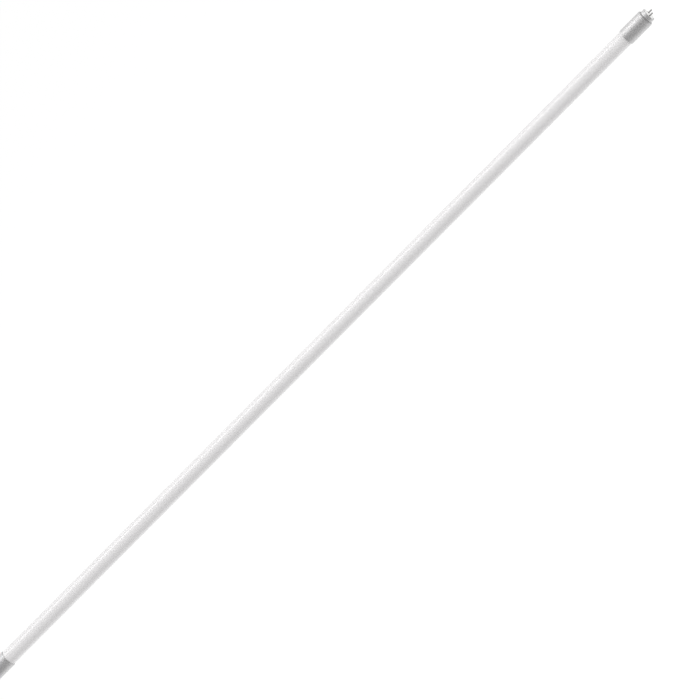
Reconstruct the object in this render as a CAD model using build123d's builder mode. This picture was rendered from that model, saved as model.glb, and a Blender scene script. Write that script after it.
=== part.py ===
from build123d import *
import os
from math import sqrt

# LED tube, T8 size, with a two-pin G13 cap at each end, in millimetres.
# X runs along the tube towards the powered end, Z is up, and the origin is the middle of the tube.
# The light leaves downwards: the LED board is bonded to the top of the glass, and faces -Z.

# Lamp: length between the two cap faces, and the glass tube
face_to_face = 1500.0
glass_diameter = 25.8
glass_wall = 0.9
glass_insertion = 15.0

# Cap shell: a drawn aluminium sleeve with a round shoulder and a smaller raised end
sleeve_diameter = 28.0
sleeve_length = 44.4
shell_wall = 0.8
shoulder_radius = 2.6
crease_land = 0.2
boss_height = 6.6
boss_edge = 0.7
face_rim = 0.9

# Pin base: the moulded insulator that fills the cap and stops the glass
base_clearance = 0.1
base_end_wall = 1.6
base_skirt_wall = 1.2
glass_stop_gap = 0.2

# Pins: the exposed contact with its bevelled tip, and the moulded shank behind it
pin_pitch = 12.7
pin_diameter = 2.35
pin_length = 7.1
pin_tip_length = 0.7
pin_tip_diameter = 1.3
pin_shank_diameter = 2.9
pin_shank_reach = 0.5
pin_hole_clearance = 0.03

# Sealant between the glass and the cap
sealant_recess = 1.0
bond_gap = 0.02

# LED board, its packages and the silicone that bonds it to the glass
led_board_width = 11.0
led_board_thickness = 1.0
led_board_setback = 10.0
led_board_glass_gap = 0.1
adhesive_width = 7.0
adhesive_setback = 4.0
led_length = 3.5
led_width = 2.8
led_height = 0.8
led_count = 96
led_end_margin = 18.0

# Driver board, held by its edges in grooves of the powered end's pin base
driver_board_width = 19.5
driver_board_thickness = 1.2
driver_board_top = -4.4
driver_board_gap = 1.0
rail_height = 3.6
groove_depth = 0.9
groove_clearance = 0.06
seat_gap = 0.02

# Stamped straps: pins to driver board, pin to pin at the plain end, and posts up to the LED board
strap_width = 3.2
strap_thickness = 0.5
strap_bend_radius = 0.6
strap_foot = 4.5
strap_head = 1.6
post_width = 0.64
post_pitch = 4.0
post_inset = 2.0

# Driver layout along the board, from its pin end: input stage, middle stage, output stage
input_start = 8.6
stage_gap = 2.2
component_gap = 0.45
board_margin = 0.45

# Driver components: sizes, and the distance to one side of the board's middle line
fuse_size = (8.4, 4.0, 7.6)
fuse_side = -6.2
film_capacitor_size = (9.0, 4.6, 8.0)
film_capacitor_side = 6.2
choke_size = (6.6, 6.6, 4.2)
choke_side = 0.4
box_edge = 0.6

bulk_capacitor_diameter = 8.0
bulk_capacitor_length = 12.0
bulk_capacitor_side = -4.8
output_capacitor_diameter = 6.3
output_capacitor_length = 10.0
output_capacitor_side = -5.9
can_groove_width = 0.9
can_groove_depth = 0.35
can_groove_offset = 1.6

core_length = 10.2
core_depth = 4.8
core_height = 10.4
core_end_plate = 1.5
core_outer_leg = 1.2
core_centre_leg = 2.6
bobbin_wall = 0.5
bobbin_gap = 0.05
bobbin_window_gap = 0.1
bobbin_overhang = 2.4
winding_margin = 0.3
transformer_side = 4.6

rectifier_size = (4.7, 3.9, 1.5)
rectifier_side = 3.0
chip_size = (4.9, 3.9, 1.4)
chip_side = -3.0
diode_size = (2.6, 4.3, 2.0)
diode_side = 3.0
chip_edge = 0.25

# Feet of the flat packages: width, reach and thickness, then how many each side has, and their pitch
lead_foot = (0.45, 1.0, 0.25)
rectifier_lead_count = 2
rectifier_lead_pitch = 2.54
chip_lead_count = 4
chip_lead_pitch = 1.27
diode_lead_count = 1
diode_lead_pitch = 0.0

# Sizes and stations worked out from those above
half_length = face_to_face / 2
cap_depth = sleeve_length + boss_height
glass_end = cap_depth - glass_insertion
glass_radius = glass_diameter / 2
glass_bore_radius = glass_radius - glass_wall
sleeve_radius = sleeve_diameter / 2
sleeve_bore_radius = sleeve_radius - shell_wall
boss_radius = sleeve_radius - shoulder_radius - crease_land
boss_bore_radius = boss_radius - shell_wall
face_opening_radius = boss_radius - boss_edge - face_rim
shoulder_end = boss_height + shoulder_radius
base_spigot_radius = face_opening_radius - base_clearance
base_flange_radius = boss_bore_radius - base_clearance
base_skirt_radius = sleeve_bore_radius - base_clearance
base_step = shoulder_end + base_clearance
base_cavity = base_step + base_end_wall
base_skirt_end = glass_end - glass_stop_gap
base_bore_radius = base_skirt_radius - base_skirt_wall
pin_radius = pin_diameter / 2
pin_shank_radius = pin_shank_diameter / 2
pin_shank_end = base_cavity + pin_shank_reach
pin_places = {"front": -pin_pitch / 2, "rear": pin_pitch / 2}
cap_sides = {"left": -1, "right": 1}

glass_half_length = half_length - glass_end
led_board_half_length = glass_half_length - led_board_setback
led_board_back = sqrt((glass_bore_radius - led_board_glass_gap) ** 2 - (led_board_width / 2) ** 2)
led_board_front = led_board_back - led_board_thickness
led_pitch = 2 * (led_board_half_length - led_end_margin) / (led_count - 1)

input_length = max(fuse_size[0], film_capacitor_size[0])
input_middle = input_start + input_length / 2
middle_start = input_start + input_length + stage_gap
middle_middle = middle_start + bulk_capacitor_length / 2
output_start = middle_start + bulk_capacitor_length + component_gap
output_middle = output_start + output_capacitor_diameter / 2
driver_board_length = output_start + output_capacitor_diameter + board_margin
driver_board_end = half_length - base_cavity - driver_board_gap
driver_board_underside = driver_board_top - driver_board_thickness
driver_board_middle = driver_board_top - driver_board_thickness / 2
groove_height = driver_board_thickness + 2 * groove_clearance
groove_floor = driver_board_width / 2 + groove_clearance


def at_end(side, stations):
    """Turn (depth behind the cap face, radius) pairs of one end into points of the XZ plane."""
    return [(side * (half_length - depth), radius) for depth, radius in stations]


def face_plane(side, depth=0.0):
    """A plane across the tube at a depth behind one cap face, its normal pointing out of that end."""
    return Plane(origin=(side * (half_length - depth), 0, 0), x_dir=(0, 1, 0), z_dir=(side, 0, 0))


def board_point(along, side):
    """The XY position of a component, from its distance to the board's pin end and to its middle line."""
    return (driver_board_end - along, side)


def finish(block, label):
    """Name one piece and write it out."""
    block.part.label = label
    export_step(block.part, f"parts/{label}.step")


os.makedirs("parts", exist_ok=True)

# Opal glass tube
with BuildPart() as diffuser_tube:
    with BuildSketch(Plane.YZ):
        Circle(glass_radius)
        Circle(glass_bore_radius, mode=Mode.SUBTRACT)
    extrude(amount=glass_half_length, both=True)
finish(diffuser_tube, "diffuser_tube")

# Cap shells: one drawn wall each, from the mouth over the shoulder and the raised end to the face
# opening, as (depth, radius, corner radius)
shell_section = [
    (cap_depth, sleeve_radius, 0),
    (boss_height, sleeve_radius, shoulder_radius),
    (boss_height, boss_radius, 0),
    (boss_edge, boss_radius, 0),
    (0, boss_radius - boss_edge, 0),
    (0, face_opening_radius, 0),
    (shell_wall, face_opening_radius, 0),
    (shell_wall, boss_bore_radius, 0),
    (boss_height + shell_wall, boss_bore_radius, 0),
    (boss_height + shell_wall, sleeve_bore_radius - shoulder_radius + shell_wall, 0),
    (shoulder_end, sleeve_bore_radius, 0),
    (cap_depth, sleeve_bore_radius, 0),
]
shell_stations = [(depth, radius) for depth, radius, corner in shell_section]
shell_corners = [corner for depth, radius, corner in shell_section]
with BuildPart() as cap_shells:
    for side in cap_sides.values():
        with BuildSketch(Plane.XZ):
            with BuildLine():
                FilletPolyline(*at_end(side, shell_stations), radius=shell_corners, close=True)
            make_face()
        revolve(axis=Axis.X)
finish(cap_shells, "cap_shells")

for end_name, side in cap_sides.items():
    # Pin base: spigot in the face opening, flange behind the rim, and a skirt down to the glass
    base_section = [
        (0, 0),
        (0, base_spigot_radius),
        (shell_wall, base_spigot_radius),
        (shell_wall, base_flange_radius),
        (base_step, base_flange_radius),
        (base_step, base_skirt_radius),
        (base_skirt_end, base_skirt_radius),
        (base_skirt_end, base_bore_radius),
        (base_cavity, base_bore_radius),
        (base_cavity, 0),
    ]
    with BuildPart() as pin_base:
        with BuildSketch(Plane.XZ):
            with BuildLine():
                Polyline(*at_end(side, base_section), close=True)
            make_face()
        revolve(axis=Axis.X)
        with BuildSketch(face_plane(side, base_skirt_end)):
            with Locations((0, side * driver_board_middle)):
                Rectangle(2 * base_skirt_radius, rail_height)
                Rectangle(2 * (groove_floor - groove_depth), rail_height, mode=Mode.SUBTRACT)
                Rectangle(2 * groove_floor, groove_height, mode=Mode.SUBTRACT)
            Circle(base_bore_radius + base_skirt_wall / 2, mode=Mode.INTERSECT)
        extrude(amount=base_skirt_end - base_cavity)
        with BuildSketch(face_plane(side)):
            with GridLocations(pin_pitch, 0, 2, 1):
                Circle(pin_shank_radius + pin_hole_clearance)
        extrude(amount=-base_cavity, mode=Mode.SUBTRACT)
    finish(pin_base, f"{end_name}_pin_base")

    # Pins: a bevel-tipped contact in front of the face, on a thicker shank moulded into the base
    pin_section = [
        (-pin_length, 0),
        (-pin_length, pin_tip_diameter / 2),
        (pin_tip_length - pin_length, pin_radius),
        (0, pin_radius),
        (0, pin_shank_radius),
        (pin_shank_end, pin_shank_radius),
        (pin_shank_end, 0),
    ]
    for pin_name, pin_y in pin_places.items():
        with BuildPart() as pin:
            with BuildSketch(Plane.XZ.offset(-pin_y)):
                with BuildLine():
                    Polyline(*at_end(side, pin_section), close=True)
                make_face()
            revolve(axis=Axis((0, pin_y, 0), (1, 0, 0)))
        finish(pin, f"{end_name}_pin_{pin_name}")

# Silicone rings that bond and seal the glass in the two sleeves
with BuildPart() as cap_sealant:
    for side in cap_sides.values():
        with BuildSketch(face_plane(side, cap_depth - sealant_recess)):
            Circle(sleeve_bore_radius - bond_gap)
            Circle(glass_radius + bond_gap, mode=Mode.SUBTRACT)
        extrude(amount=glass_insertion - sealant_recess)
finish(cap_sealant, "cap_sealant")

# LED board, bonded along the top of the glass
with BuildPart() as led_board:
    with BuildSketch(Plane.XY.offset(led_board_front)):
        Rectangle(2 * led_board_half_length, led_board_width)
    extrude(amount=led_board_thickness)
finish(led_board, "led_board")

# Silicone bed between the flat back of the board and the round glass
bed_height = glass_bore_radius - led_board_back - bond_gap
with BuildPart() as board_adhesive:
    with BuildSketch(Plane.YZ):
        Circle(glass_bore_radius - bond_gap)
        with Locations((0, led_board_back + bond_gap + bed_height / 2)):
            Rectangle(adhesive_width, bed_height, mode=Mode.INTERSECT)
    extrude(amount=led_board_half_length - adhesive_setback, both=True)
finish(board_adhesive, "board_adhesive")

# LED packages in one row down the middle of the board
with BuildPart() as led_packages:
    with BuildSketch(Plane.XY.offset(led_board_front)):
        with GridLocations(led_pitch, 0, led_count, 1):
            Rectangle(led_length, led_width)
    extrude(amount=-led_height)
finish(led_packages, "led_packages")

# Driver board, slid into the grooves of the powered end's pin base
with BuildPart() as driver_board:
    with BuildSketch(Plane.XY.offset(driver_board_underside)):
        with Locations((driver_board_end - driver_board_length / 2, 0)):
            Rectangle(driver_board_length, driver_board_width)
    extrude(amount=driver_board_thickness)
finish(driver_board, "driver_board")

# Straps welded to the powered pins and bent onto the driver board
strap_front = half_length - pin_shank_end - seat_gap
strap_foot_base = driver_board_top + seat_gap
strap_outline = [
    (strap_front, strap_head, 0),
    (strap_front, strap_foot_base, strap_bend_radius + strap_thickness),
    (strap_front - strap_foot, strap_foot_base, 0),
    (strap_front - strap_foot, strap_foot_base + strap_thickness, 0),
    (strap_front - strap_thickness, strap_foot_base + strap_thickness, strap_bend_radius),
    (strap_front - strap_thickness, strap_head, 0),
]
strap_points = [(along, height) for along, height, corner in strap_outline]
strap_corners = [corner for along, height, corner in strap_outline]
for strap_name, pin_name in {"line_strap": "front", "neutral_strap": "rear"}.items():
    with BuildPart() as strap:
        with BuildSketch(Plane.XZ.offset(-pin_places[pin_name])):
            with BuildLine():
                FilletPolyline(*strap_points, radius=strap_corners, close=True)
            make_face()
        extrude(amount=strap_width / 2, both=True)
    finish(strap, strap_name)

# Strap that joins the two pins of the plain end
with BuildPart() as shorting_strap:
    with BuildSketch(face_plane(-1, pin_shank_end + seat_gap)):
        SlotCenterToCenter(pin_pitch, strap_width)
    extrude(amount=-strap_thickness)
finish(shorting_strap, "shorting_strap")

# Square posts that carry the driver's output up to the LED board
post_x = driver_board_end - driver_board_length + post_inset
with BuildPart() as output_posts:
    with BuildSketch(Plane.XY.offset(driver_board_top + seat_gap)):
        with Locations((post_x, 0)):
            with GridLocations(0, post_pitch, 1, 2):
                Rectangle(post_width, post_width)
    extrude(amount=led_board_front - driver_board_top - 2 * seat_gap)
finish(output_posts, "output_posts")

# Moulded boxes on the driver board: fuse, input choke and film capacitor, their top edges bevelled
moulded_boxes = {
    "input_fuse": (fuse_size, fuse_side),
    "input_choke": (choke_size, choke_side),
    "film_capacitor": (film_capacitor_size, film_capacitor_side),
}
for box_name, (size, side) in moulded_boxes.items():
    length, width, height = size
    with BuildPart() as moulded_box:
        with BuildSketch(Plane.XY.offset(driver_board_top + seat_gap)):
            with Locations(board_point(input_middle, side)):
                Rectangle(length, width)
        extrude(amount=height)
        chamfer(moulded_box.faces().sort_by(Axis.Z)[-1].edges(), box_edge)
    finish(moulded_box, box_name)


def can_section(diameter, length):
    """Half section of a capacitor can, from its sealed end to its top, as (along, radius) points."""
    radius = diameter / 2
    groove = radius - can_groove_depth
    return [
        (0, 0),
        (0, radius),
        (can_groove_offset - can_groove_width / 2, radius),
        (can_groove_offset, groove),
        (can_groove_offset + can_groove_width / 2, radius),
        (length, radius),
        (length, 0),
    ]


# Bulk capacitor: an aluminium can that lies on the board, its sealed end towards the pins
bulk_x, bulk_y = board_point(middle_middle, bulk_capacitor_side)
bulk_origin = (
    bulk_x + bulk_capacitor_length / 2,
    bulk_y,
    driver_board_top + seat_gap + bulk_capacitor_diameter / 2,
)
with BuildPart() as bulk_capacitor:
    with BuildSketch(Plane(origin=bulk_origin, x_dir=(-1, 0, 0), z_dir=(0, 1, 0))):
        with BuildLine():
            Polyline(*can_section(bulk_capacitor_diameter, bulk_capacitor_length), close=True)
        make_face()
    revolve(axis=Axis(bulk_origin, (1, 0, 0)))
finish(bulk_capacitor, "bulk_capacitor")

# Output capacitor: a smaller can that stands on the board
output_x, output_y = board_point(output_middle, output_capacitor_side)
output_origin = (output_x, output_y, driver_board_top + seat_gap)
with BuildPart() as output_capacitor:
    with BuildSketch(Plane(origin=output_origin, x_dir=(0, 0, 1), z_dir=(0, 1, 0))):
        with BuildLine():
            Polyline(*can_section(output_capacitor_diameter, output_capacitor_length), close=True)
        make_face()
    revolve(axis=Axis(output_origin, (0, 0, 1)))
finish(output_capacitor, "output_capacitor")

# Transformer: a ferrite frame with a centre leg, the bobbin around that leg and the winding on it
transformer_x, transformer_y = board_point(middle_middle, transformer_side)
core_foot = driver_board_top + seat_gap
window_height = core_height - 2 * core_end_plate
window_width = (core_length - core_centre_leg) / 2 - core_outer_leg
window_pitch = core_centre_leg + window_width
with BuildPart() as transformer_core:
    core_plane = Plane(
        origin=(transformer_x, transformer_y, core_foot + core_height / 2),
        x_dir=(1, 0, 0),
        z_dir=(0, -1, 0),
    )
    with BuildSketch(core_plane):
        Rectangle(core_length, core_height)
        with GridLocations(window_pitch, 0, 2, 1):
            Rectangle(window_width, window_height, mode=Mode.SUBTRACT)
    extrude(amount=core_depth / 2, both=True)
finish(transformer_core, "transformer_core")

bobbin_bore = (core_centre_leg + 2 * bobbin_gap, core_depth + 2 * bobbin_gap)
bobbin_tube = (bobbin_bore[0] + 2 * bobbin_wall, bobbin_bore[1] + 2 * bobbin_wall)
flange_length = core_centre_leg + 2 * (window_width - bobbin_window_gap)
flange_depth = core_depth + 2 * bobbin_overhang
bobbin_height = window_height - 2 * seat_gap
bobbin_foot = core_foot + core_end_plate + seat_gap
with BuildPart() as transformer_bobbin:
    for flange_base in (0, bobbin_height - bobbin_wall):
        with BuildSketch(Plane.XY.offset(bobbin_foot + flange_base)):
            with Locations((transformer_x, transformer_y)):
                Rectangle(flange_length, flange_depth)
        extrude(amount=bobbin_wall)
    with BuildSketch(Plane.XY.offset(bobbin_foot)):
        with Locations((transformer_x, transformer_y)):
            Rectangle(*bobbin_tube)
    extrude(amount=bobbin_height)
    with BuildSketch(Plane.XY.offset(bobbin_foot)):
        with Locations((transformer_x, transformer_y)):
            Rectangle(*bobbin_bore)
    extrude(amount=bobbin_height, mode=Mode.SUBTRACT)
finish(transformer_bobbin, "transformer_bobbin")

with BuildPart() as transformer_winding:
    with BuildSketch(Plane.XY.offset(bobbin_foot + bobbin_wall + seat_gap)):
        with Locations((transformer_x, transformer_y)):
            Rectangle(flange_length - 2 * winding_margin, flange_depth - 2 * winding_margin)
            Rectangle(bobbin_tube[0] + 2 * seat_gap, bobbin_tube[1] + 2 * seat_gap, mode=Mode.SUBTRACT)
    extrude(amount=bobbin_height - 2 * bobbin_wall - 2 * seat_gap)
finish(transformer_winding, "transformer_winding")

# Flat packages soldered under the driver board, each with two rows of feet
rectifier_leads = (rectifier_lead_count, rectifier_lead_pitch)
chip_leads = (chip_lead_count, chip_lead_pitch)
diode_leads = (diode_lead_count, diode_lead_pitch)
flat_packages = {
    "bridge_rectifier": (rectifier_size, input_middle, rectifier_side, rectifier_leads),
    "driver_chip": (chip_size, middle_middle, chip_side, chip_leads),
    "output_diode": (diode_size, output_middle, diode_side, diode_leads),
}
package_plane = Plane.XY.offset(driver_board_underside - seat_gap)
foot_width, foot_reach, foot_thickness = lead_foot
for package_name, (size, along, side, leads) in flat_packages.items():
    length, width, height = size
    lead_count, lead_pitch = leads
    with BuildPart() as package:
        with BuildSketch(package_plane):
            with Locations(board_point(along, side)):
                Rectangle(length, width)
        extrude(amount=-height)
        chamfer(package.faces().sort_by(Axis.Z)[0].edges(), chip_edge)
        with BuildSketch(package_plane):
            with Locations(board_point(along, side)):
                with GridLocations(lead_pitch, width, lead_count, 2):
                    Rectangle(foot_width, 2 * foot_reach)
        extrude(amount=-foot_thickness)
    finish(package, package_name)
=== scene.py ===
from math import atan2, cos, radians, sin, tau

import bmesh
import bpy
from bpy.props import FloatProperty, FloatVectorProperty, IntProperty, PointerProperty
from mathutils import Matrix, Vector


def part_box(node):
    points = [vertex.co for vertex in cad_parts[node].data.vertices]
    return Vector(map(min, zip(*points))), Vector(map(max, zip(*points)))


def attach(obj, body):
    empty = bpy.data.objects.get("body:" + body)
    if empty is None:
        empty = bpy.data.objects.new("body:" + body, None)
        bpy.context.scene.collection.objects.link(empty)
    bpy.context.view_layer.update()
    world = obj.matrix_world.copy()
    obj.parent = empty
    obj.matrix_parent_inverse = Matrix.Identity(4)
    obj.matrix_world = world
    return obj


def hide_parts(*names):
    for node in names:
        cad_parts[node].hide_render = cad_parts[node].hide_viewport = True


bl_info = {
    "name": "LED Tube",
    "version": (1, 0, 0),
    "blender": (4, 5, 0),
    "location": "View3D > Sidebar > LED Tube",
    "description": "Dresses an LED tube: opal glass, satin caps, plated pins, boards and a plain stage",
    "category": "Object",
}

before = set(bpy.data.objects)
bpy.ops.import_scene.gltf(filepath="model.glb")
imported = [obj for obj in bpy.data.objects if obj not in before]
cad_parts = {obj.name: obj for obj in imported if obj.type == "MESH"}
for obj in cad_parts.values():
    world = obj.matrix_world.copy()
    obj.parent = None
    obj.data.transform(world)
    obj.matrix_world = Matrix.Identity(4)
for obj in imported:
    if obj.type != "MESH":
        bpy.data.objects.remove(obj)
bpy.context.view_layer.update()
glass_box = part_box("diffuser_tube")
shell_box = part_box("cap_shells")
pin_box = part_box("right_pin_rear")
led_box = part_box("led_packages")

BODY = "root"
ENDS = {"left": -1, "right": 1}
MM = 0.001

# Faces across a rounded corner, the gap that merging closes, and the angle of a hard edge
CORNER_SEGMENTS = 10
MERGE_DISTANCE = 0.001 * MM
HARD_EDGE = radians(40.0)

# A card's turn on edge, and the roughness of the cards and the floor
UPRIGHT = radians(90.0)
MATT_ROUGHNESS = 0.9

# How far the camera sees, as a multiple of its distance from the lamp
CLIP_REACH = 10.0

# Watts that a square metre of an area light needs for a radiance of one
LIGHT_WATTS = 4.0


class LampSizes(bpy.types.PropertyGroup):
    """Sizes of the turned pieces and the LEDs that the CAD parts' boxes don't give."""

    segments: IntProperty(
        name="Segments", description="Faces round the glass and the caps", default=160, min=48
    )
    pin_segments: IntProperty(name="Pin segments", description="Faces round a pin", default=48, min=16)
    glass_wall: FloatProperty(
        name="Glass wall", description="Thickness of the glass", default=0.9 * MM, unit="LENGTH"
    )
    glass_edge: FloatProperty(
        name="Glass edge", description="Rounding of the cut glass ends", default=0.25 * MM, unit="LENGTH"
    )
    cap_depth: FloatProperty(
        name="Cap depth", description="From the cap's face to its mouth", default=51.0 * MM, unit="LENGTH"
    )
    cap_wall: FloatProperty(
        name="Cap wall", description="Thickness of the drawn metal", default=0.8 * MM, unit="LENGTH"
    )
    shoulder_radius: FloatProperty(
        name="Shoulder", description="Rounding of the cap's shoulder", default=2.6 * MM, unit="LENGTH"
    )
    crease_land: FloatProperty(
        name="Crease land", description="Flat ring round the raised end", default=0.2 * MM, unit="LENGTH"
    )
    crease_depth: FloatProperty(
        name="Crease depth", description="Depth of the crease's groove", default=0.6 * MM, unit="LENGTH"
    )
    raised_height: FloatProperty(
        name="Raised end", description="Height of the smaller raised end", default=6.6 * MM, unit="LENGTH"
    )
    raised_edge: FloatProperty(
        name="Raised edge", description="Rounding of the raised end's rim", default=0.7 * MM, unit="LENGTH"
    )
    face_rim: FloatProperty(
        name="Face rim", description="Flat metal rim round the end face", default=0.9 * MM, unit="LENGTH"
    )
    mouth_edge: FloatProperty(
        name="Mouth edge", description="Rounding of the cap's mouth", default=0.3 * MM, unit="LENGTH"
    )
    pin_diameter: FloatProperty(
        name="Pin diameter", description="Diameter of a contact pin", default=2.35 * MM, unit="LENGTH"
    )
    pin_tip_diameter: FloatProperty(
        name="Pin tip", description="Diameter of the flat at a pin's tip", default=1.3 * MM, unit="LENGTH"
    )
    pin_tip_length: FloatProperty(
        name="Pin taper", description="Length of the taper at a pin's tip", default=0.7 * MM, unit="LENGTH"
    )
    pin_tip_edge: FloatProperty(
        name="Pin tip edge", description="Rounding of the tip's edges", default=0.25 * MM, unit="LENGTH"
    )
    led_count: IntProperty(name="LEDs", description="LEDs in the row", default=96, min=2)
    led_length: FloatProperty(
        name="LED length", description="Length of an LED along the row", default=3.5 * MM, unit="LENGTH"
    )
    gel_length: FloatProperty(
        name="Gel length", description="Length of an LED's gel field", default=2.6 * MM, unit="LENGTH"
    )
    gel_width: FloatProperty(
        name="Gel width", description="Width of an LED's gel field", default=2.0 * MM, unit="LENGTH"
    )


class LampFinishes(bpy.types.PropertyGroup):
    """Colours of the lamp's finishes."""

    glass: FloatVectorProperty(
        name="Opal glass", description="Colour of the glass", subtype="COLOR", default=(0.865, 0.853, 0.858)
    )
    aluminium: FloatVectorProperty(
        name="Aluminium", description="Colour of the caps", subtype="COLOR", default=(0.633, 0.628, 0.63)
    )
    moulding: FloatVectorProperty(
        name="White moulding", description="Colour of the bases", subtype="COLOR", default=(0.85, 0.85, 0.84)
    )
    plating: FloatVectorProperty(
        name="Plating", description="Colour of pins and straps", subtype="COLOR", default=(0.34, 0.335, 0.33)
    )
    silicone: FloatVectorProperty(
        name="Silicone", description="Colour of the bonds", subtype="COLOR", default=(0.72, 0.72, 0.71)
    )
    white_mask: FloatVectorProperty(
        name="White mask", description="Colour of the LED board", subtype="COLOR", default=(0.8, 0.8, 0.79)
    )
    white_track: FloatVectorProperty(
        name="White tracks",
        description="Colour of the tracks under the white mask",
        subtype="COLOR",
        default=(0.74, 0.74, 0.72),
    )
    led_frame: FloatVectorProperty(
        name="LED frame", description="Colour of the LED frames", subtype="COLOR", default=(0.82, 0.82, 0.8)
    )
    phosphor: FloatVectorProperty(
        name="Phosphor", description="Colour of the LED gel", subtype="COLOR", default=(0.82, 0.66, 0.12)
    )
    green_mask: FloatVectorProperty(
        name="Green mask",
        description="Colour of the driver board",
        subtype="COLOR",
        default=(0.02, 0.13, 0.06),
    )
    green_track: FloatVectorProperty(
        name="Green tracks",
        description="Colour of the tracks under the green mask",
        subtype="COLOR",
        default=(0.034, 0.221, 0.102),
    )
    black_moulding: FloatVectorProperty(
        name="Black moulding",
        description="Colour of the fuse, the bobbin and the chips",
        subtype="COLOR",
        default=(0.02, 0.02, 0.022),
    )
    ferrite: FloatVectorProperty(
        name="Ferrite", description="Colour of the cores", subtype="COLOR", default=(0.05, 0.05, 0.055)
    )
    film_box: FloatVectorProperty(
        name="Film box", description="Colour of the film box", subtype="COLOR", default=(0.5, 0.33, 0.05)
    )
    capacitor_sleeve: FloatVectorProperty(
        name="Capacitor sleeve",
        description="Colour of the round capacitors",
        subtype="COLOR",
        default=(0.02, 0.025, 0.07),
    )
    winding_tape: FloatVectorProperty(
        name="Winding tape", description="Colour of the tape", subtype="COLOR", default=(0.68, 0.46, 0.03)
    )


class StageSettings(bpy.types.PropertyGroup):
    """Camera, floor, lights and cards."""

    azimuth: FloatProperty(
        name="Azimuth", description="Camera's angle round the lamp", default=radians(15.0), subtype="ANGLE"
    )
    elevation: FloatProperty(
        name="Elevation", description="Camera's angle above level", default=radians(20.0), subtype="ANGLE"
    )
    slant: FloatProperty(
        name="Slant", description="The tube's slope in the picture", default=radians(45.11), subtype="ANGLE"
    )
    lens: FloatProperty(name="Lens", description="Focal length", default=600.0, subtype="DISTANCE_CAMERA")
    picture_width: FloatProperty(
        name="Picture width", description="Width of the view at the lamp", default=1.0836, unit="LENGTH"
    )
    picture_pixels: IntProperty(name="Picture pixels", description="Pixels across the picture", default=700)
    centre_across: FloatProperty(
        name="Centre across", description="Pixels from the left to the tube's middle", default=314.3
    )
    centre_down: FloatProperty(
        name="Centre down", description="Pixels from the top to the tube's middle", default=350.67
    )
    floor_drop: FloatProperty(
        name="Floor drop", description="How far the floor lies under the tube", default=1.2, unit="LENGTH"
    )
    floor_size: FloatProperty(
        name="Floor size", description="Side of the floor", default=80.0, unit="LENGTH"
    )
    floor_colour: FloatVectorProperty(
        name="Floor", description="Colour of the floor", subtype="COLOR", default=(0.79, 0.79, 0.79)
    )
    floor_lift: FloatProperty(
        name="Floor lift", description="What is added to the floor where it is seen", default=0.52
    )
    ambient: FloatProperty(name="Ambient", description="Strength of the room's light", default=0.6)
    softbox_length: FloatProperty(
        name="Softbox length", description="Length of the softboxes", default=3.0, unit="LENGTH"
    )
    softbox_width: FloatProperty(
        name="Softbox width", description="Width of the front and low softboxes", default=0.8, unit="LENGTH"
    )
    key_width: FloatProperty(
        name="Key width", description="Width of the overhead softbox", default=0.4, unit="LENGTH"
    )
    key_strength: FloatProperty(name="Key", description="Radiance of the overhead softbox", default=1.6)
    key_place: FloatVectorProperty(
        name="Key place",
        description="Middle of the overhead softbox",
        subtype="TRANSLATION",
        default=(0.0, -0.05, 1.18),
    )
    soft_strength: FloatProperty(
        name="Front light", description="Radiance of the front softbox", default=0.6
    )
    soft_place: FloatVectorProperty(
        name="Front light place",
        description="Middle of the front softbox",
        subtype="TRANSLATION",
        default=(0.0, -1.3, 1.1),
    )
    under_strength: FloatProperty(name="Low light", description="Radiance of the low softbox", default=0.8)
    under_place: FloatVectorProperty(
        name="Low light place",
        description="Middle of the low softbox",
        subtype="TRANSLATION",
        default=(0.0, 0.35, -1.0),
    )
    end_strength: FloatProperty(name="Ends", description="Radiance of the light at each end", default=2.4)
    end_light_size: FloatProperty(
        name="End light size", description="Side of the light at each end", default=1.0, unit="LENGTH"
    )
    end_light_place: FloatVectorProperty(
        name="End light place",
        description="Middle of the right end's light",
        subtype="TRANSLATION",
        default=(2.2, 0.0, 0.0),
    )
    card_length: FloatProperty(
        name="Card length", description="Length of the cards in front", default=7.0, unit="LENGTH"
    )
    front_grey: FloatProperty(
        name="Front card", description="Reflectance of the card in front", default=0.55
    )
    front_height: FloatProperty(
        name="Front card height", description="Height of the card in front", default=2.9, unit="LENGTH"
    )
    front_place: FloatVectorProperty(
        name="Front card place",
        description="Middle of the card in front",
        subtype="TRANSLATION",
        default=(0.0, -1.4, 0.25),
    )
    low_grey: FloatProperty(
        name="Low card", description="Reflectance of the card on the floor", default=0.88
    )
    low_depth: FloatProperty(
        name="Low card depth", description="Depth of the card on the floor", default=1.0, unit="LENGTH"
    )
    low_place: FloatVectorProperty(
        name="Low card place",
        description="Middle of the card on the floor",
        subtype="TRANSLATION",
        default=(0.0, -0.9, -1.18),
    )
    end_grey: FloatProperty(
        name="End cards", description="Reflectance of the card at each end", default=0.4
    )
    end_card_size: FloatProperty(
        name="End card size", description="Side of the card at each end", default=2.4, unit="LENGTH"
    )
    end_card_place: FloatVectorProperty(
        name="End card place",
        description="Middle of the right end's card",
        subtype="TRANSLATION",
        default=(1.7, -0.4, 0.0),
    )


def section(shape, points):
    """Closed wire section of (x, radius, corner) points in the XZ plane, each corner rounded."""
    corners = [(shape.verts.new((x, 0.0, radius)), corner) for x, radius, corner in points]
    verts = [vert for vert, corner in corners]
    for start, end in zip(verts, verts[1:] + verts[:1]):
        shape.edges.new((start, end))
    for vert, corner in corners:
        if corner:
            bmesh.ops.bevel(
                shape,
                geom=[vert],
                offset=corner,
                offset_type="OFFSET",
                segments=CORNER_SEGMENTS,
                profile=0.5,
                affect="VERTICES",
                material=-1,
            )


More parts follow.
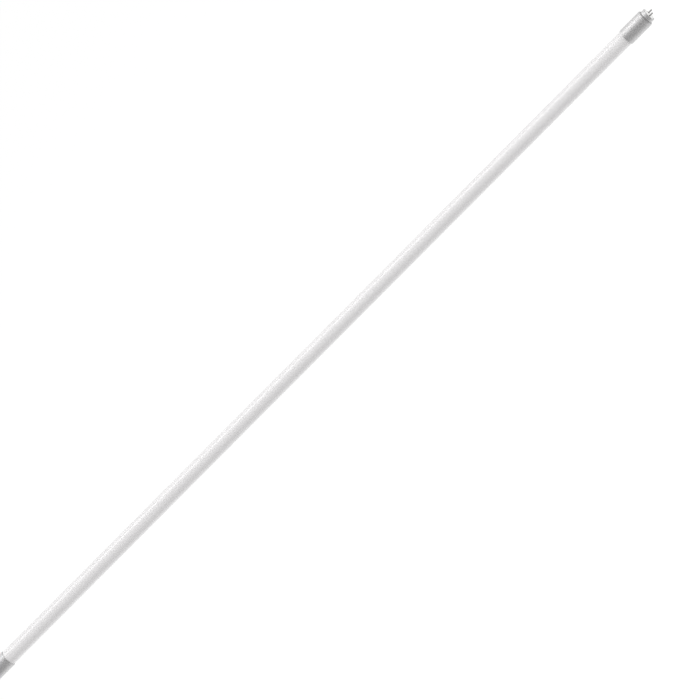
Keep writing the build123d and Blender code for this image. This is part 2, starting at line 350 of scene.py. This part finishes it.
def turned(name, points, segments, centre=(0.0, 0.0, 0.0)):
    """A piece turned round the X axis from a closed section, then moved to its centre line."""
    shape = bmesh.new()
    section(shape, points)
    bmesh.ops.spin(
        shape,
        geom=shape.verts[:] + shape.edges[:],
        cent=(0.0, 0.0, 0.0),
        axis=(1.0, 0.0, 0.0),
        angle=tau,
        steps=segments,
        use_merge=True,
    )
    bmesh.ops.remove_doubles(shape, verts=shape.verts, dist=MERGE_DISTANCE)
    bmesh.ops.recalc_face_normals(shape, faces=shape.faces)
    bmesh.ops.translate(shape, verts=shape.verts, vec=centre)
    return made(name, shape)


def made(name, shape):
    """Turn a bmesh into a smooth object with its hard edges kept."""
    mesh = bpy.data.meshes.new(name)
    shape.to_mesh(mesh)
    shape.free()
    mesh.shade_smooth()
    mesh.set_sharp_from_angle(angle=HARD_EDGE)
    piece = bpy.data.objects.new(name, mesh)
    bpy.context.scene.collection.objects.link(piece)
    return piece


def dress(piece, material, slot, *nodes):
    """Give a new piece its finish and its body, and hide the CAD nodes that it stands for."""
    piece.data.materials.append(material)
    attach(piece, BODY)
    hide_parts(*nodes)


def paint_node(node, material):
    """Give a CAD node its finish."""
    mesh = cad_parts[node].data
    mesh.materials.clear()
    mesh.materials.append(material)


def new_finish(name, metallic=0.0):
    """A material with its tree and its shader, whose colour and roughness are still to be set."""
    material = bpy.data.materials.new(name)
    material.use_nodes = True
    shader = material.node_tree.nodes["Principled BSDF"]
    shader.inputs["Metallic"].default_value = metallic
    return material, material.node_tree, shader


def grain(tree, scale, stretch=(1.0, 1.0, 1.0), detail=4.0):
    """Noise on Object coordinates, stretched along the axes where stretch is under 1."""
    place = tree.nodes.new("ShaderNodeTexCoord")
    mapping = tree.nodes.new("ShaderNodeMapping")
    mapping.inputs["Scale"].default_value = stretch
    noise = tree.nodes.new("ShaderNodeTexNoise")
    noise.inputs["Scale"].default_value = scale
    noise.inputs["Detail"].default_value = detail
    tree.links.new(place.outputs["Object"], mapping.inputs["Vector"])
    tree.links.new(mapping.outputs["Vector"], noise.inputs["Vector"])
    return noise.outputs["Fac"]


def calculated(tree, operation, *values):
    """Result of a maths node whose values are numbers or other nodes' outputs."""
    node = tree.nodes.new("ShaderNodeMath")
    node.operation = operation
    for socket, value in zip(node.inputs, values):
        if isinstance(value, bpy.types.NodeSocket):
            tree.links.new(value, socket)
        else:
            socket.default_value = value
    return node.outputs["Value"]


def near_middle(tree, coordinate, width):
    """1 where a coordinate is within half a width of zero, and 0 elsewhere."""
    return calculated(tree, "LESS_THAN", calculated(tree, "ABSOLUTE", coordinate), width / 2)


def spread(tree, factor, low, high, start=0.0, end=1.0):
    """A value that goes from low to high while a factor goes from start to end."""
    level = tree.nodes.new("ShaderNodeMapRange")
    level.inputs["From Min"].default_value = start
    level.inputs["From Max"].default_value = end
    level.inputs["To Min"].default_value = low
    level.inputs["To Max"].default_value = high
    tree.links.new(factor, level.inputs["Value"])
    return level.outputs["Result"]


def blend(tree, shader, factor, low, high):
    """Base colour between two colours by a factor."""
    mix = tree.nodes.new("ShaderNodeMix")
    mix.data_type = "RGBA"
    mix.inputs["A"].default_value = (*low, 1.0)
    mix.inputs["B"].default_value = (*high, 1.0)
    tree.links.new(factor, mix.inputs["Factor"])
    tree.links.new(mix.outputs["Result"], shader.inputs["Base Color"])


def shade(colour, share):
    """A colour made lighter or darker by a share."""
    return tuple(min(1.0, channel * share) for channel in colour)


def tint(tree, shader, factor, colour, darkest, lightest):
    """Base colour that a factor takes from a darker to a lighter share of one colour."""
    blend(tree, shader, factor, shade(colour, darkest), shade(colour, lightest))


def polish(tree, shader, factor, smoothest, roughest):
    """Roughness between two values by a factor."""
    tree.links.new(spread(tree, factor, smoothest, roughest), shader.inputs["Roughness"])


def relief(tree, shader, factor, depth, strength=0.3):
    """Fine relief of a depth in metres."""
    bump = tree.nodes.new("ShaderNodeBump")
    bump.inputs["Strength"].default_value = strength
    bump.inputs["Distance"].default_value = depth
    tree.links.new(factor, bump.inputs["Height"])
    tree.links.new(bump.outputs["Normal"], shader.inputs["Normal"])


def opal_glass(finishes):
    """Polished opal glass: faint clouds in the coating and draw lines along the tube."""
    material, tree, shader = new_finish("opal_glass")
    shader.inputs["Specular IOR Level"].default_value = 0.75
    clouds = grain(tree, scale=26.0, stretch=(0.25, 1.0, 1.0))
    lines = grain(tree, scale=900.0, stretch=(0.004, 1.0, 1.0))
    tint(tree, shader, clouds, finishes.glass, darkest=0.985, lightest=1.01)
    polish(tree, shader, lines, smoothest=0.1, roughest=0.15)
    relief(tree, shader, lines, depth=0.01 * MM)
    return material


def satin_aluminium(finishes):
    """Drawn and turned aluminium: fine rings round the cap and broad patches of duller metal."""
    material, tree, shader = new_finish("satin_aluminium", metallic=1.0)
    rings = grain(tree, scale=2600.0, stretch=(1.0, 0.01, 0.01), detail=8.0)
    patches = grain(tree, scale=160.0, stretch=(1.0, 0.3, 0.3))
    tint(tree, shader, rings, finishes.aluminium, darkest=0.9, lightest=1.1)
    polish(tree, shader, patches, smoothest=0.5, roughest=0.6)
    relief(tree, shader, rings, depth=0.02 * MM, strength=0.5)
    return material


def plated_pin(finishes):
    """Nickel plate over turned brass: a mottled tone and fine turning rings."""
    material, tree, shader = new_finish("plated_pin", metallic=1.0)
    mottle = grain(tree, scale=700.0)
    rings = grain(tree, scale=6000.0, stretch=(1.0, 0.02, 0.02), detail=5.0)
    tint(tree, shader, mottle, finishes.plating, darkest=0.92, lightest=1.04)
    polish(tree, shader, rings, smoothest=0.2, roughest=0.34)
    relief(tree, shader, rings, depth=0.003 * MM)
    return material


def tinned_strip(finishes):
    """Rolled and tinned strip, its rolling lines along its length."""
    material, tree, shader = new_finish("tinned_strip", metallic=1.0)
    mottle = grain(tree, scale=900.0)
    lines = grain(tree, scale=5000.0, stretch=(0.05, 1.0, 0.05))
    tint(tree, shader, mottle, finishes.plating, darkest=0.9, lightest=1.06)
    polish(tree, shader, lines, smoothest=0.28, roughest=0.42)
    relief(tree, shader, lines, depth=0.003 * MM)
    return material


def white_moulding(finishes):
    """Moulded PBT with a fine spark-eroded texture."""
    material, tree, shader = new_finish("white_moulding")
    flow = grain(tree, scale=300.0)
    sparks = grain(tree, scale=4200.0, detail=2.0)
    tint(tree, shader, flow, finishes.moulding, darkest=0.97, lightest=1.01)
    polish(tree, shader, sparks, smoothest=0.4, roughest=0.52)
    relief(tree, shader, sparks, depth=0.006 * MM)
    return material


def moulded(name, colour, roughness):
    """Plain moulded plastic, ferrite, resin or rubber with a fine grain."""
    material, tree, shader = new_finish(name)
    mottle = grain(tree, scale=500.0)
    fine = grain(tree, scale=3600.0, detail=2.0)
    swing = 0.06
    tint(tree, shader, mottle, colour, darkest=0.85, lightest=1.15)
    polish(tree, shader, fine, smoothest=roughness - swing, roughest=roughness + swing)
    relief(tree, shader, fine, depth=0.005 * MM)
    return material


def masked_board(name, mask, track):
    """Solder mask over copper tracks that run along the board."""
    material, tree, shader = new_finish(name)
    bands = grain(tree, scale=260.0, stretch=(0.08, 1.0, 1.0), detail=1.0)
    tracks = spread(tree, bands, low=0.0, high=1.0, start=0.52, end=0.56)
    blend(tree, shader, tracks, mask, track)
    polish(tree, shader, grain(tree, scale=2400.0), smoothest=0.32, roughest=0.46)
    relief(tree, shader, tracks, depth=0.03 * MM)
    return material


def led_phosphor(finishes, sizes):
    """White LED frames, each with a field of phosphor gel in its middle."""
    material, tree, shader = new_finish("led_phosphor")
    pitch = (led_box[1].x - led_box[0].x - sizes.led_length) / (sizes.led_count - 1)
    place = tree.nodes.new("ShaderNodeTexCoord")
    axes = tree.nodes.new("ShaderNodeSeparateXYZ")
    tree.links.new(place.outputs["Object"], axes.inputs["Vector"])
    repeat = calculated(tree, "WRAP", axes.outputs["X"], pitch, 0.0)
    along = near_middle(tree, calculated(tree, "SUBTRACT", repeat, pitch / 2), sizes.gel_length)
    across = near_middle(tree, axes.outputs["Y"], sizes.gel_width)
    gel = calculated(tree, "MULTIPLY", along, across)
    blend(tree, shader, gel, finishes.led_frame, finishes.phosphor)
    polish(tree, shader, grain(tree, scale=1500.0), smoothest=0.28, roughest=0.45)
    relief(tree, shader, grain(tree, scale=2600.0), depth=0.01 * MM)
    return material


def matt(name, colour):
    """A plain matt material for the stage."""
    material, _, shader = new_finish(name)
    shader.inputs["Base Color"].default_value = (*colour, 1.0)
    shader.inputs["Roughness"].default_value = MATT_ROUGHNESS
    return material


def seen_level(tree, low, high):
    """A value that is high for camera, glossy and transmission rays, and low for the rest."""
    path = tree.nodes.new("ShaderNodeLightPath")
    seen = path.outputs["Is Camera Ray"]
    for ray in ("Is Glossy Ray", "Is Transmission Ray"):
        seen = calculated(tree, "MAXIMUM", seen, path.outputs[ray])
    return spread(tree, seen, low, high)


def floor_white(colour, lift):
    """Pale floor that reaches white where it is seen, and keeps its shadows."""
    material = matt("floor_white", colour)
    tree = material.node_tree
    shader = tree.nodes["Principled BSDF"]
    shader.inputs["Specular IOR Level"].default_value = 0.0
    shader.inputs["Emission Color"].default_value = (1.0, 1.0, 1.0, 1.0)
    tree.links.new(seen_level(tree, 0.0, lift), shader.inputs["Emission Strength"])
    return material


def room(ambient):
    """A plain room: white where it is seen, and a low even light on the lamp."""
    world = bpy.data.worlds.new("room")
    world.use_nodes = True
    tree = world.node_tree
    background = tree.nodes["Background"]
    background.inputs["Color"].default_value = (1.0, 1.0, 1.0, 1.0)
    tree.links.new(seen_level(tree, ambient, 1.0), background.inputs["Strength"])
    bpy.context.scene.world = world


def sheet(name, material, width, depth, place, tilt=0.0, axis="X"):
    """A flat stage sheet, tilted about an axis at its place."""
    shape = bmesh.new()
    turn = Matrix.Rotation(tilt, 3, axis)
    bmesh.ops.create_grid(shape, x_segments=1, y_segments=1, size=0.5)
    bmesh.ops.scale(shape, vec=(width, depth, 1.0), verts=shape.verts)
    bmesh.ops.rotate(shape, cent=(0.0, 0.0, 0.0), matrix=turn, verts=shape.verts)
    bmesh.ops.translate(shape, vec=place, verts=shape.verts)
    piece = made(name, shape)
    piece.data.materials.append(material)
    return piece


def reflection_card(name, grey, width, depth, place, tilt=0.0, axis="X"):
    """A grey card that only reflections show, so that the metal doesn't mirror white all round."""
    card = sheet(name, matt(name, (grey, grey, grey)), width, depth, place, tilt, axis)
    card.visible_camera = False
    card.visible_diffuse = False
    card.visible_shadow = False


def area_light(name, radiance, width, depth, place, reflected=False):
    """A soft rectangular light aimed at the lamp's middle, left out of reflections unless told."""
    lamp = bpy.data.lights.new(name, "AREA")
    lamp.shape = "RECTANGLE"
    lamp.size = width
    lamp.size_y = depth
    lamp.energy = radiance * LIGHT_WATTS * width * depth
    light = bpy.data.objects.new(name, lamp)
    light.location = place
    light.rotation_mode = "QUATERNION"
    light.rotation_quaternion = (-Vector(place)).to_track_quat("-Z", "Y")
    light.visible_camera = False
    light.visible_glossy = reflected
    bpy.context.scene.collection.objects.link(light)


def place_camera(stage):
    """A long lens at the picture's viewing angle, rolled so that the tube has its slope."""
    back = Vector(
        (
            sin(stage.azimuth) * cos(stage.elevation),
            -cos(stage.azimuth) * cos(stage.elevation),
            sin(stage.elevation),
        )
    )
    level = (-back).to_track_quat("-Z", "Y").to_matrix()
    tube = Vector((1.0, 0.0, 0.0))
    roll = stage.slant - atan2(tube.dot(level.col[1]), tube.dot(level.col[0]))
    turn = level @ Matrix.Rotation(-roll, 3, "Z")
    pixel = stage.picture_width / stage.picture_pixels
    across = (stage.picture_pixels / 2 - stage.centre_across) * pixel
    up = (stage.centre_down - stage.picture_pixels / 2) * pixel
    data = bpy.data.cameras.new("camera")
    data.lens = stage.lens
    distance = stage.picture_width * data.lens / data.sensor_width
    data.clip_end = CLIP_REACH * distance
    camera = bpy.data.objects.new("camera", data)
    camera.location = turn.col[0] * across + turn.col[1] * up + back * distance
    camera.rotation_mode = "QUATERNION"
    camera.rotation_quaternion = turn.to_quaternion()
    bpy.context.scene.collection.objects.link(camera)
    bpy.context.scene.camera = camera


class LAMP_OT_tube(bpy.types.Operator):
    """Turn the opal glass tube"""

    bl_idname = "lamp.tube"
    bl_label = "Glass Tube"

    def execute(self, context):
        sizes = context.scene.lamp_sizes
        low, high = glass_box
        radius = high.z
        bore = radius - sizes.glass_wall
        edge = sizes.glass_edge
        points = [
            (low.x, bore, edge),
            (low.x, radius, edge),
            (high.x, radius, edge),
            (high.x, bore, edge),
        ]
        tube = turned("glass_tube", points, sizes.segments)
        dress(tube, opal_glass(context.scene.lamp_finishes), "opal_glass", "diffuser_tube")
        return {"FINISHED"}


class LAMP_OT_caps(bpy.types.Operator):
    """Turn the two drawn cap shells"""

    bl_idname = "lamp.caps"
    bl_label = "Cap Shells"

    def execute(self, context):
        sizes = context.scene.lamp_sizes
        half_length = shell_box[1].x
        sleeve = shell_box[1].z
        bore = sleeve - sizes.cap_wall
        raised = sleeve - sizes.shoulder_radius - sizes.crease_land
        raised_bore = raised - sizes.cap_wall
        opening = raised - sizes.raised_edge - sizes.face_rim
        step = sizes.raised_height + sizes.cap_wall
        stations = [
            (sizes.cap_depth, sleeve, sizes.mouth_edge),
            (sizes.raised_height, sleeve, sizes.shoulder_radius),
            (sizes.raised_height, raised + sizes.crease_land, 0.0),
            (sizes.raised_height + sizes.crease_depth, raised, 0.0),
            (0.0, raised, sizes.raised_edge),
            (0.0, opening, 0.0),
            (sizes.cap_wall, opening, 0.0),
            (sizes.cap_wall, raised_bore, 0.0),
            (step, raised_bore, 0.0),
            (step, bore, sizes.shoulder_radius - sizes.cap_wall),
            (sizes.cap_depth, bore, sizes.mouth_edge),
        ]
        metal = satin_aluminium(context.scene.lamp_finishes)
        for end, side in ENDS.items():
            points = [(side * (half_length - depth), radius, corner) for depth, radius, corner in stations]
            cap = turned(f"{end}_cap", points, sizes.segments)
            dress(cap, metal, "satin_aluminium", "cap_shells")
        return {"FINISHED"}


class LAMP_OT_pins(bpy.types.Operator):
    """Turn the four contact pins"""

    bl_idname = "lamp.pins"
    bl_label = "Contact Pins"

    def execute(self, context):
        sizes = context.scene.lamp_sizes
        tip, root = pin_box[1].x, pin_box[0].x
        face = shell_box[1].x
        shank = pin_box[1].z
        edge = sizes.pin_tip_edge
        stations = [
            (tip, 0.0, 0.0),
            (tip, sizes.pin_tip_diameter / 2, edge),
            (tip - sizes.pin_tip_length, sizes.pin_diameter / 2, edge),
            (face, sizes.pin_diameter / 2, 0.0),
            (face, shank, 0.0),
            (root, shank, 0.0),
            (root, 0.0, 0.0),
        ]
        plate = plated_pin(context.scene.lamp_finishes)
        for end, side in ENDS.items():
            points = [(side * along, radius, corner) for along, radius, corner in stations]
            for row in ("front", "rear"):
                node = f"{end}_pin_{row}"
                low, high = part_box(node)
                centre = (0.0, (low.y + high.y) / 2, 0.0)
                pin = turned(f"{node}_plated", points, sizes.pin_segments, centre)
                dress(pin, plate, "plated_pin", node)
        return {"FINISHED"}


class LAMP_OT_inside(bpy.types.Operator):
    """Dress the pin bases and what lies inside the glass and the caps"""

    bl_idname = "lamp.inside"
    bl_label = "Bases and Boards"

    def execute(self, context):
        finishes = context.scene.lamp_finishes
        sleeve = moulded("capacitor_sleeve", finishes.capacitor_sleeve, roughness=0.25)
        black = moulded("black_moulding", finishes.black_moulding, roughness=0.45)
        dressed = {
            white_moulding(finishes): ["left_pin_base", "right_pin_base"],
            moulded("silicone", finishes.silicone, roughness=0.5): ["cap_sealant", "board_adhesive"],
            masked_board("white_board", finishes.white_mask, finishes.white_track): ["led_board"],
            led_phosphor(finishes, context.scene.lamp_sizes): ["led_packages"],
            masked_board("circuit_board", finishes.green_mask, finishes.green_track): ["driver_board"],
            tinned_strip(finishes): ["line_strap", "neutral_strap", "shorting_strap", "output_posts"],
            black: ["input_fuse", "transformer_bobbin", "bridge_rectifier", "driver_chip", "output_diode"],
            moulded("ferrite", finishes.ferrite, roughness=0.55): ["input_choke", "transformer_core"],
            moulded("film_box", finishes.film_box, roughness=0.4): ["film_capacitor"],
            sleeve: ["bulk_capacitor", "output_capacitor"],
            moulded("winding_tape", finishes.winding_tape, roughness=0.25): ["transformer_winding"],
        }
        for material, nodes in dressed.items():
            for node in nodes:
                paint_node(node, material)
        return {"FINISHED"}


class LAMP_OT_stage(bpy.types.Operator):
    """Set the floor, the cards, the lights and the camera"""

    bl_idname = "lamp.stage"
    bl_label = "Stage"

    def execute(self, context):
        stage = context.scene.lamp_stage
        context.scene.view_settings.view_transform = "Standard"
        room(stage.ambient)
        white = floor_white(stage.floor_colour, stage.floor_lift)
        sheet("floor", white, stage.floor_size, stage.floor_size, (0.0, 0.0, -stage.floor_drop))
        reflection_card(
            "front_card",
            stage.front_grey,
            stage.card_length,
            stage.front_height,
            stage.front_place,
            UPRIGHT,
        )
        reflection_card("low_card", stage.low_grey, stage.card_length, stage.low_depth, stage.low_place)
        length = stage.softbox_length
        area_light("key", stage.key_strength, length, stage.key_width, stage.key_place, reflected=True)
        area_light("soft", stage.soft_strength, length, stage.softbox_width, stage.soft_place)
        area_light("under", stage.under_strength, length, stage.softbox_width, stage.under_place)
        for end, side in ENDS.items():
            mirror = Vector((side, 1.0, 1.0))
            size = stage.end_light_size
            area_light(f"{end}_light", stage.end_strength, size, size, stage.end_light_place * mirror)
            size = stage.end_card_size
            place = stage.end_card_place * mirror
            reflection_card(f"{end}_card", stage.end_grey, size, size, place, UPRIGHT, "Y")
        place_camera(stage)
        return {"FINISHED"}


class LAMP_PT_panel(bpy.types.Panel):
    """The lamp's operators and their settings"""

    bl_label = "LED Tube"
    bl_idname = "LAMP_PT_panel"
    bl_space_type = "VIEW_3D"
    bl_region_type = "UI"
    bl_category = "LED Tube"

    def draw(self, context):
        layout = self.layout
        for operator in OPERATORS:
            layout.operator(operator.bl_idname)
        for group in (context.scene.lamp_sizes, context.scene.lamp_finishes, context.scene.lamp_stage):
            column = layout.column()
            for name in group.bl_rna.properties.keys():
                if name not in ("rna_type", "name"):
                    column.prop(group, name)


GROUPS = {"lamp_sizes": LampSizes, "lamp_finishes": LampFinishes, "lamp_stage": StageSettings}
OPERATORS = (LAMP_OT_tube, LAMP_OT_caps, LAMP_OT_pins, LAMP_OT_inside, LAMP_OT_stage)


def register():
    for cls in (*GROUPS.values(), *OPERATORS, LAMP_PT_panel):
        bpy.utils.register_class(cls)
    for name, group in GROUPS.items():
        setattr(bpy.types.Scene, name, PointerProperty(type=group))


def unregister():
    for name in GROUPS:
        delattr(bpy.types.Scene, name)
    for cls in (LAMP_PT_panel, *reversed(OPERATORS), *reversed(GROUPS.values())):
        bpy.utils.unregister_class(cls)


def main():
    register()
    bpy.ops.lamp.tube()
    bpy.ops.lamp.caps()
    bpy.ops.lamp.pins()
    bpy.ops.lamp.inside()
    bpy.ops.lamp.stage()


if __name__ == "__main__":
    main()
